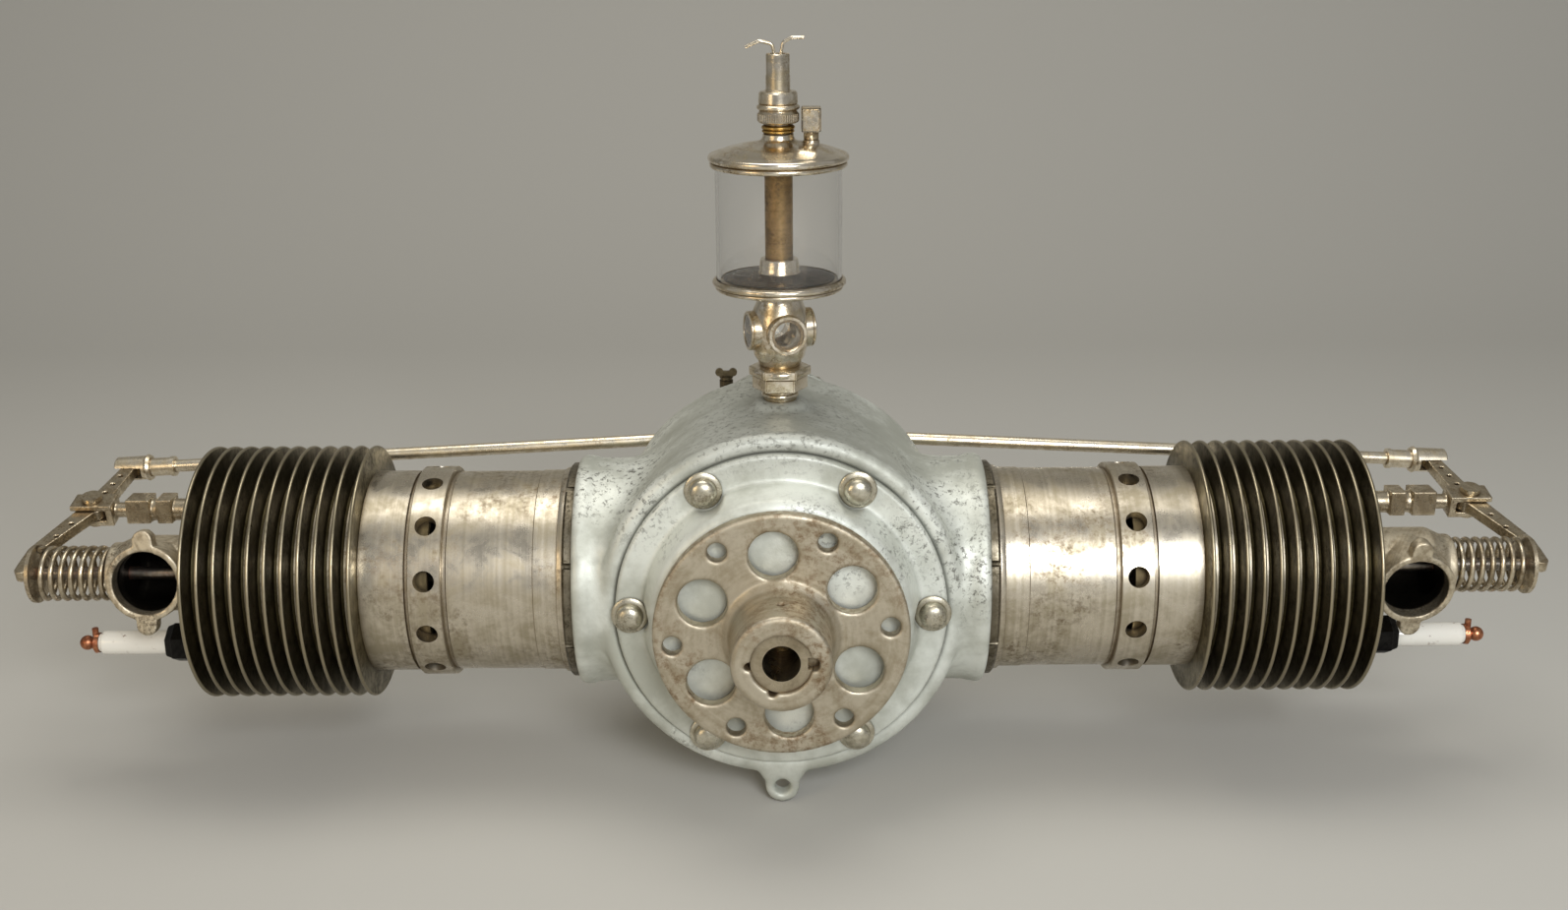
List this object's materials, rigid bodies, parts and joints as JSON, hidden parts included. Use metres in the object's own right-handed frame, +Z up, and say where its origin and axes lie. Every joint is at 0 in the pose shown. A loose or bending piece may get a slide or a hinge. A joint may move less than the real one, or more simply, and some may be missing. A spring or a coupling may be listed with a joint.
{
  "type": "aircraft engine",
  "caption": "Air-cooled flat twin piston aircraft engine with finned cylinders, drilled propeller hub, pushrod exhaust valve gear and a glass sight-feed oiler on the crankcase.",
  "frame": {"origin": "where the crankshaft axis crosses the common axis of the two cylinders", "axes": "+X along the right cylinder, -Y to the propeller, +Z up towards the oiler"},
  "size_m": [1.0556, 0.295, 0.5091],
  "materials": {
    "cast_aluminium": "sand cast, stained and worn",
    "machined_iron": "turned bare iron, patchy stains",
    "iron_castings": "bare casting with a filed mouth",
    "piston_iron": "turned iron",
    "forged_steel": "machined steel",
    "hub_steel": "turned steel, browned",
    "bright_steel": "nickelled steel, worn",
    "spring_steel": "drawn wire",
    "bronze": "bearing bronze",
    "plug_steel": "blackened hexagon",
    "porcelain": "white glaze, stained",
    "copper": "copper terminal",
    "worn_nickel": "nickel plate worn to brass",
    "brass": "dull brass",
    "clear_glass": "clear blown glass"
  },
  "bodies": {
    "engine": {"bearing_bushes": "bronze", "breather_cock_body": "brass", "connecting_rod_left": "forged_steel", "connecting_rod_right": "forged_steel", "crankcase": "cast_aluminium", "cylinder_left": "machined_iron", "cylinder_lock_rings": "bright_steel", "cylinder_right": "machined_iron", "exhaust_cage_left": "iron_castings", "exhaust_cage_right": "iron_castings", "exhaust_spring_left": "spring_steel", "exhaust_spring_right": "spring_steel", "front_cover": "cast_aluminium", "front_cover_bolts": "bright_steel", "inlet_cage_left": "iron_castings", "inlet_cage_right": "iron_castings", "inlet_spring_left": "spring_steel", "inlet_spring_right": "spring_steel", "oiler_body": "worn_nickel", "oiler_glass": "clear_glass", "oiler_lid": "worn_nickel", "oiler_tube": "brass", "piston_left": "piston_iron", "piston_right": "piston_iron", "piston_rings": "piston_iron", "rocker_bracket_left": "bright_steel", "rocker_bracket_right": "bright_steel", "rocker_pins": "bright_steel", "sight_glasses": "clear_glass", "spark_plug_bodies": "plug_steel", "spark_plug_insulators": "porcelain", "spark_plug_terminals": "copper", "timing_cover": "cast_aluminium", "timing_cover_screws": "bright_steel", "wrist_pins": "forged_steel"},
    "crank": {"crankshaft": "forged_steel", "propeller_hub": "hub_steel", "hub_key": "forged_steel", "crank_gear": "forged_steel"},
    "camshaft": {"camshaft": "forged_steel", "cam_gear": "forged_steel"},
    "regulator": {"oiler_nut": "worn_nickel"},
    "needle": {"oiler_needle": "worn_nickel"},
    "snap_lever": {"snap_lever": "worn_nickel"},
    "filler_plug": {"filler_cap": "worn_nickel"},
    "cock_handle": {"breather_cock_handle": "brass"},
    "big_end_right": {"big_end_right": "bronze"},
    "pushrod_right": {"pushrod_right": "bright_steel", "tappet_right": "forged_steel"},
    "rocker_right": {"rocker_right": "bright_steel"},
    "exhaust_valve_right": {"exhaust_valve_right": "forged_steel", "exhaust_retainer_right": "bright_steel"},
    "inlet_valve_right": {"inlet_valve_right": "forged_steel"},
    "big_end_left": {"big_end_left": "bronze"},
    "pushrod_left": {"pushrod_left": "bright_steel", "tappet_left": "forged_steel"},
    "rocker_left": {"rocker_left": "bright_steel"},
    "exhaust_valve_left": {"exhaust_valve_left": "forged_steel", "exhaust_retainer_left": "bright_steel"},
    "inlet_valve_left": {"inlet_valve_left": "forged_steel"}
  },
  "joints": [
    {"name": "crank_spin", "type": "hinge", "parent": "engine", "child": "crank", "pos_m": [0, 0, 0], "axis": [0, 1, 0], "continuous": true},
    {"name": "cam_spin", "type": "hinge", "parent": "engine", "child": "camshaft", "pos_m": [0, 0, 0.063], "axis": [0, 1, 0], "continuous": true},
    {"name": "big_end_right_spin", "type": "hinge", "parent": "crank", "child": "big_end_right", "pos_m": [0.0635, -0.022, 0], "axis": [0, 1, 0], "continuous": true},
    {"name": "pushrod_lift_right", "type": "slide", "parent": "engine", "child": "pushrod_right", "axis": [0.9988, 0, -0.0499], "range_m": [0, 0.0064]},
    {"name": "rocker_right_swing", "type": "hinge", "parent": "engine", "child": "rocker_right", "pos_m": [0.5, 0.05, 0.02869], "axis": [0, -0.233, 0.9725], "range_deg": [-6.5, 0]},
    {"name": "exhaust_valve_right_lift", "type": "slide", "parent": "engine", "child": "exhaust_valve_right", "axis": [-1, 0, 0], "range_m": [0, 0.0092], "stiffness_N_per_m": 2000, "springref_m": -0.01, "deforming": ["exhaust_spring_right"]},
    {"name": "inlet_valve_right_lift", "type": "slide", "parent": "engine", "child": "inlet_valve_right", "axis": [-1, 0, 0], "range_m": [0, 0.006], "stiffness_N_per_m": 300, "springref_m": -0.005, "deforming": ["inlet_spring_right"]},
    {"name": "big_end_left_spin", "type": "hinge", "parent": "crank", "child": "big_end_left", "pos_m": [-0.0635, 0.022, 0], "axis": [0, 1, 0], "continuous": true},
    {"name": "pushrod_lift_left", "type": "slide", "parent": "engine", "child": "pushrod_left", "axis": [-0.9988, 0, -0.0499], "range_m": [0, 0.0064]},
    {"name": "rocker_left_swing", "type": "hinge", "parent": "engine", "child": "rocker_left", "pos_m": [-0.5, 0.05, 0.02869], "axis": [0, -0.233, 0.9725], "range_deg": [0, 6.5]},
    {"name": "exhaust_valve_left_lift", "type": "slide", "parent": "engine", "child": "exhaust_valve_left", "axis": [1, 0, 0], "range_m": [0, 0.0092], "stiffness_N_per_m": 2000, "springref_m": -0.01, "deforming": ["exhaust_spring_left"]},
    {"name": "inlet_valve_left_lift", "type": "slide", "parent": "engine", "child": "inlet_valve_left", "axis": [1, 0, 0], "range_m": [0, 0.006], "stiffness_N_per_m": 300, "springref_m": -0.005, "deforming": ["inlet_spring_left"]},
    {"name": "regulator_turn", "type": "hinge", "parent": "engine", "child": "regulator", "pos_m": [0, 0, 0.311], "axis": [0, 0, 1], "range_deg": [-180, 180]},
    {"name": "snap_lever_tilt", "type": "hinge", "parent": "regulator", "child": "snap_lever", "pos_m": [0, 0, 0.348], "axis": [0, 1, 0], "range_deg": [0, 90]},
    {"name": "needle_lift", "type": "slide", "parent": "engine", "child": "needle", "axis": [0, 0, 1], "range_m": [-0.003, 0]},
    {"name": "filler_plug_pull", "type": "slide", "parent": "engine", "child": "filler_plug", "axis": [0, 0, 1], "range_m": [0, 0.012]},
    {"name": "cock_handle_turn", "type": "hinge", "parent": "engine", "child": "cock_handle", "pos_m": [-0.04, 0.0998, 0.099], "axis": [0, 0, 1], "range_deg": [0, 90]}
  ],
  "couplings": [
    {"joint": "cam_spin", "follows": "crank_spin", "ratio": -0.5},
    {"joint": "big_end_right_spin", "follows": "crank_spin", "ratio": -1},
    {"joint": "rocker_right_swing", "follows": "pushrod_lift_right", "rad_per_m": -17.366},
    {"joint": "exhaust_valve_right_lift", "follows": "pushrod_lift_right", "ratio": 1.3929},
    {"joint": "big_end_left_spin", "follows": "crank_spin", "ratio": -1},
    {"joint": "rocker_left_swing", "follows": "pushrod_lift_left", "rad_per_m": 17.366},
    {"joint": "exhaust_valve_left_lift", "follows": "pushrod_lift_left", "ratio": 1.3929},
    {"joint": "snap_lever_tilt", "follows": "needle_lift", "rad_per_m": -523}
  ]
}
